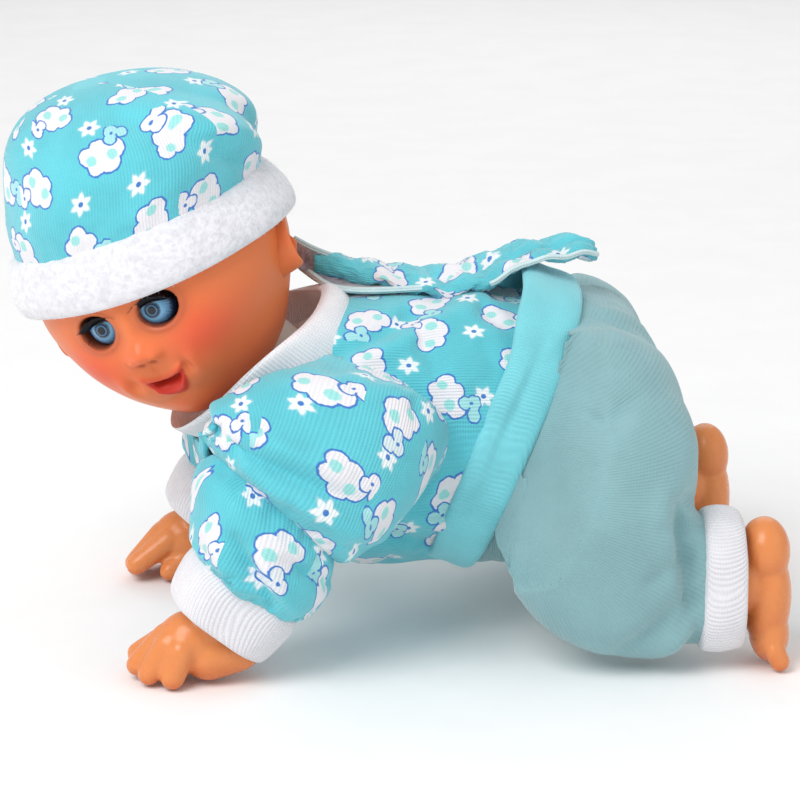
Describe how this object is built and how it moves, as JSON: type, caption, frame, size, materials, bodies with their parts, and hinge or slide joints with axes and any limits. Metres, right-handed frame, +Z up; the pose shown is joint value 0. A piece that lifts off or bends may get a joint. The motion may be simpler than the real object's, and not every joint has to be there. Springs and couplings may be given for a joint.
{
  "type": "interactive baby doll",
  "caption": "Crawling battery baby doll in a printed jersey top, ribbed trousers and soft cap, with swinging limbs, turning head and sleeping eyes.",
  "frame": {"origin": "on the floor under the middle of the doll's bounding box", "axes": "+Z up; the doll crawls towards -X; its left side is -Y"},
  "size_m": [0.2124, 0.1214, 0.1595],
  "materials": {
    "body_plastic": "satin moulded plastic",
    "mechanism_plastic": "black moulded plastic",
    "steel": "bright steel",
    "cell_wrap": "shrink wrap over metal",
    "gear_nylon": "natural nylon",
    "circuit_board": "solder mask",
    "speaker_paper": "coated paper",
    "print_jersey": "printed cotton jersey with clouds and stars",
    "mint_knit": "fine ribbed knit",
    "white_rib": "white rib knit",
    "white_fleece": "white fleece",
    "limb_plastic": "glossy moulded plastic with a parting seam",
    "skin_vinyl": "soft vinyl with a painted face",
    "eye_gloss": "clear glossy lens over a painted iris",
    "lash_black": "black fibre"
  },
  "bodies": {
    "torso": {"torso_belly_shell": "body_plastic", "torso_back_shell": "body_plastic", "battery_door": "body_plastic", "battery_door_screw": "steel", "neck_post": "body_plastic", "battery_tray": "mechanism_plastic", "battery_cell_1": "cell_wrap", "battery_cell_2": "cell_wrap", "battery_cell_3": "cell_wrap", "contact_plate_front": "steel", "contact_plate_rear": "steel", "sound_board": "circuit_board", "speaker": "speaker_paper", "switch_body": "mechanism_plastic", "gearbox_plate_left": "mechanism_plastic", "gearbox_plate_right": "mechanism_plastic", "motor_can": "steel", "jacket_body": "print_jersey", "jacket_collar": "white_rib", "jacket_hood": "print_jersey", "trouser_seat": "mint_knit", "waistband": "mint_knit"},
    "switch": {"switch_slider": "mechanism_plastic"},
    "rotor": {"motor_pinion": "steel"},
    "first_wheel": {"first_gear": "gear_nylon"},
    "second_wheel": {"second_gear": "gear_nylon"},
    "crankshaft": {"crank_axle": "steel", "output_gear": "gear_nylon", "crank_left": "steel", "crank_right": "steel"},
    "leg_left": {"leg_left_inner_shell": "limb_plastic", "leg_left_outer_shell": "limb_plastic", "hip_lever_left": "mechanism_plastic", "trouser_leg_left": "mint_knit", "ankle_cuff_left": "white_rib"},
    "arm_left": {"arm_left_inner_shell": "limb_plastic", "arm_left_outer_shell": "limb_plastic", "shoulder_lever_left": "mechanism_plastic", "sleeve_left": "print_jersey", "sleeve_cuff_left": "white_rib"},
    "rod_left": {"link_rod_left": "steel"},
    "leg_right": {"leg_right_inner_shell": "limb_plastic", "leg_right_outer_shell": "limb_plastic", "hip_lever_right": "mechanism_plastic", "trouser_leg_right": "mint_knit", "ankle_cuff_right": "white_rib"},
    "arm_right": {"arm_right_inner_shell": "limb_plastic", "arm_right_outer_shell": "limb_plastic", "shoulder_lever_right": "mechanism_plastic", "sleeve_right": "print_jersey", "sleeve_cuff_right": "white_rib"},
    "rod_right": {"link_rod_right": "steel"},
    "head": {"head_shell": "skin_vinyl", "eye_carrier": "mechanism_plastic"},
    "eye_left": {"eyeball_left": "eye_gloss", "eyelash_left": "lash_black"},
    "eye_right": {"eyeball_right": "eye_gloss", "eyelash_right": "lash_black"},
    "cap": {"cap_crown": "print_jersey", "cap_brim": "white_fleece"}
  },
  "joints": [
    {"name": "crank_spin", "type": "hinge", "parent": "torso", "child": "crankshaft", "pos_m": [0.054, 0, 0.075], "axis": [0, 1, 0], "continuous": true},
    {"name": "second_gear_spin", "type": "hinge", "parent": "torso", "child": "second_wheel", "pos_m": [0.04628, 0, 0.06897], "axis": [0, 1, 0], "continuous": true},
    {"name": "first_gear_spin", "type": "hinge", "parent": "torso", "child": "first_wheel", "pos_m": [0.04374, 0, 0.0595], "axis": [0, 1, 0], "continuous": true},
    {"name": "motor_spin", "type": "hinge", "parent": "torso", "child": "rotor", "pos_m": [0.05247, 0, 0.05505], "axis": [0, 1, 0], "continuous": true},
    {"name": "leg_left_swing", "type": "hinge", "parent": "torso", "child": "leg_left", "pos_m": [0.054, 0, 0.056], "axis": [0, 1, 0], "range_deg": [-11, 11]},
    {"name": "leg_right_swing", "type": "hinge", "parent": "torso", "child": "leg_right", "pos_m": [0.054, 0, 0.056], "axis": [0, 1, 0], "range_deg": [-11, 11]},
    {"name": "arm_left_swing", "type": "hinge", "parent": "torso", "child": "arm_left", "pos_m": [-0.04, 0, 0.066], "axis": [0, 1, 0], "range_deg": [-11, 11]},
    {"name": "arm_right_swing", "type": "hinge", "parent": "torso", "child": "arm_right", "pos_m": [-0.04, 0, 0.066], "axis": [0, 1, 0], "range_deg": [-11, 11]},
    {"name": "rod_left_pivot", "type": "hinge", "parent": "leg_left", "child": "rod_left", "pos_m": [0.054, 0, 0.066], "axis": [0, 1, 0], "range_deg": [-11, 11]},
    {"name": "rod_right_pivot", "type": "hinge", "parent": "leg_right", "child": "rod_right", "pos_m": [0.054, 0, 0.066], "axis": [0, 1, 0], "range_deg": [-11, 11]},
    {"name": "head_turn", "type": "hinge", "parent": "torso", "child": "head", "pos_m": [-0.066, 0, 0.106], "axis": [-0.7431, 0, 0.6691], "range_deg": [-110, 15]},
    {"name": "eye_left_close", "type": "hinge", "parent": "head", "child": "eye_left", "pos_m": [-0.0682, -0.0292, 0.10407], "axis": [0.8365, -0.3515, 0.4203], "range_deg": [0, 42]},
    {"name": "eye_right_close", "type": "hinge", "parent": "head", "child": "eye_right", "pos_m": [-0.08094, -0.02385, 0.09767], "axis": [0.8365, -0.3515, 0.4203], "range_deg": [0, 42]},
    {"name": "cap_lift", "type": "slide", "parent": "head", "child": "cap", "axis": [-0.4295, 0.0555, 0.9013], "range_m": [0, 0.07]},
    {"name": "switch_slide", "type": "slide", "parent": "torso", "child": "switch", "axis": [1, 0, 0], "range_m": [0, 0.004]}
  ],
  "couplings": [
    {"joint": "first_gear_spin", "follows": "motor_spin", "ratio": -0.4},
    {"joint": "second_gear_spin", "follows": "motor_spin", "ratio": 0.16},
    {"joint": "crank_spin", "follows": "motor_spin", "ratio": -0.064},
    {"joint": "leg_right_swing", "follows": "leg_left_swing", "ratio": -1},
    {"joint": "arm_left_swing", "follows": "leg_left_swing", "ratio": -1},
    {"joint": "arm_right_swing", "follows": "leg_left_swing", "ratio": 1},
    {"joint": "rod_left_pivot", "follows": "leg_left_swing", "ratio": -1},
    {"joint": "rod_right_pivot", "follows": "leg_left_swing", "ratio": 1}
  ]
}
